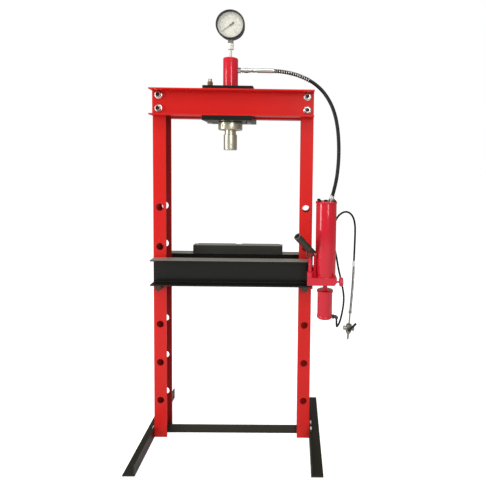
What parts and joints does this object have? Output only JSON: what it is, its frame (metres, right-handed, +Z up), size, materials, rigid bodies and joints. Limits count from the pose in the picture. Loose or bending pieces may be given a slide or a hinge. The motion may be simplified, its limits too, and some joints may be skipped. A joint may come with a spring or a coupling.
{
  "type": "H-frame hydraulic floor press",
  "caption": "Floor-standing H-frame shop press with a hydraulic ram, a pressure gauge and an air-driven hand pump on its side; the bed rests on pins at a chosen height.",
  "frame": {"origin": "on the floor, under the middle of the frame, half way between the uprights", "axes": "+X across the frame towards the pump, +Y from the front to the back, +Z up"},
  "size_m": [0.9538, 0.5, 1.9135],
  "materials": {
    "red_paint": "gloss",
    "crimson_paint": "gloss",
    "black_paint": "satin",
    "dark_paint": "satin",
    "zinc": "zinc plated",
    "machined": "machined",
    "nickel": "nickel plated",
    "blackened": "blackened",
    "copper_zinc": "worn",
    "rough_steel": "rough",
    "bronze": "machined",
    "seal": "matt",
    "hose_rubber": "satin",
    "air_hose": "satin",
    "guard": "bright spring wire",
    "white_plastic": "satin",
    "black_plastic": "satin",
    "dial": "matt",
    "needle": "matt",
    "gauge_glass": "clear",
    "brass": "machined"
  },
  "bodies": {
    "frame": {"left_upright": "red_paint", "right_upright": "red_paint", "front_crossbeam": "red_paint", "rear_crossbeam": "red_paint", "crossbeam_bolts": "zinc", "crossbeam_nuts": "zinc", "left_foot": "dark_paint", "right_foot": "dark_paint", "base_tie": "dark_paint", "anchor_bolts": "zinc", "head_plate_top": "black_paint", "head_plate_bottom": "black_paint", "head_clamp_bolts": "machined", "head_clamp_nut": "copper_zinc", "cylinder_barrel": "crimson_paint", "cylinder_ring_nut": "nickel", "cylinder_gland": "bronze", "gauge_case": "blackened", "gauge_bezel": "blackened", "gauge_dial": "dial", "gauge_glass": "gauge_glass", "gauge_adaptor": "nickel", "hose_coupler": "zinc", "hydraulic_ferrule": "zinc", "hydraulic_guard": "guard", "hydraulic_hose": "hose_rubber", "hose_end_fitting": "zinc", "pump_bracket": "crimson_paint", "pump_base": "crimson_paint", "reservoir_tube": "crimson_paint", "reservoir_cap": "crimson_paint", "cap_bolts": "blackened", "filler_plug": "blackened", "handle_links": "crimson_paint", "handle_pin": "zinc", "air_motor_barrel": "crimson_paint", "air_motor_cap": "crimson_paint", "air_elbow": "black_plastic", "air_hose": "air_hose", "air_hose_collar": "white_plastic", "air_hose_guard": "guard", "hose_clip": "black_plastic", "air_valve_body": "nickel"},
    "ram": {"ram_rod": "nickel", "piston_seal": "seal", "ram_saddle": "nickel", "return_spring": "guard"},
    "needle": {"gauge_needle": "needle"},
    "lever": {"handle_socket": "blackened"},
    "plunger": {"pump_plunger": "crimson_paint"},
    "release_screw": {"release_knob": "crimson_paint"},
    "motor_piston": {"air_piston": "machined"},
    "valve_lever": {"air_valve_lever": "black_plastic"},
    "bed": {"front_bed_channel": "black_paint", "rear_bed_channel": "black_paint", "bed_spacers": "black_paint"},
    "left_pin": {"left_bed_pin": "machined"},
    "right_pin": {"right_bed_pin": "machined"},
    "left_block": {"left_press_block": "rough_steel"},
    "right_block": {"right_press_block": "rough_steel"}
  },
  "joints": [
    {"name": "ram_slide", "type": "slide", "parent": "frame", "child": "ram", "axis": [0, 0, -1], "range_m": [0, 0.15], "deforming": ["return_spring"]},
    {"name": "needle_turn", "type": "hinge", "parent": "frame", "child": "needle", "pos_m": [-0.019, 0, 1.85], "axis": [0, 1, 0], "range_deg": [0, 270]},
    {"name": "lever_swing", "type": "hinge", "parent": "frame", "child": "lever", "pos_m": [0.3534, -0.10975, 0.868], "axis": [0.6428, -0.766, 0], "range_deg": [-20, 35]},
    {"name": "plunger_slide", "type": "slide", "parent": "frame", "child": "plunger", "axis": [0, 0, -1], "range_m": [-0.0066, 0.0115]},
    {"name": "release_turn", "type": "hinge", "parent": "frame", "child": "release_screw", "pos_m": [0.464, -0.124, 0.751], "axis": [1, 0, 0], "range_deg": [-180, 0]},
    {"name": "motor_piston_slide", "type": "slide", "parent": "frame", "child": "motor_piston", "axis": [0, 0, 1], "range_m": [0, 0.018]},
    {"name": "valve_lever_turn", "type": "hinge", "parent": "frame", "child": "valve_lever", "pos_m": [0.52061, -0.041, 0.51489], "axis": [0, 1, 0], "range_deg": [-45, 45]},
    {"name": "bed_slide", "type": "slide", "parent": "frame", "child": "bed", "axis": [0, 0, 1], "range_m": [0, 0.175]},
    {"name": "left_pin_slide", "type": "slide", "parent": "frame", "child": "left_pin", "axis": [0, -1, 0], "range_m": [0, 0.1]},
    {"name": "right_pin_slide", "type": "slide", "parent": "frame", "child": "right_pin", "axis": [0, -1, 0], "range_m": [0, 0.1]},
    {"name": "left_block_slide", "type": "slide", "parent": "bed", "child": "left_block", "axis": [-1, 0, 0], "range_m": [0, 0.07]},
    {"name": "right_block_slide", "type": "slide", "parent": "bed", "child": "right_block", "axis": [1, 0, 0], "range_m": [0, 0.07]}
  ],
  "couplings": [
    {"joint": "plunger_slide", "follows": "lever_swing", "m_per_rad": 0.01855}
  ]
}
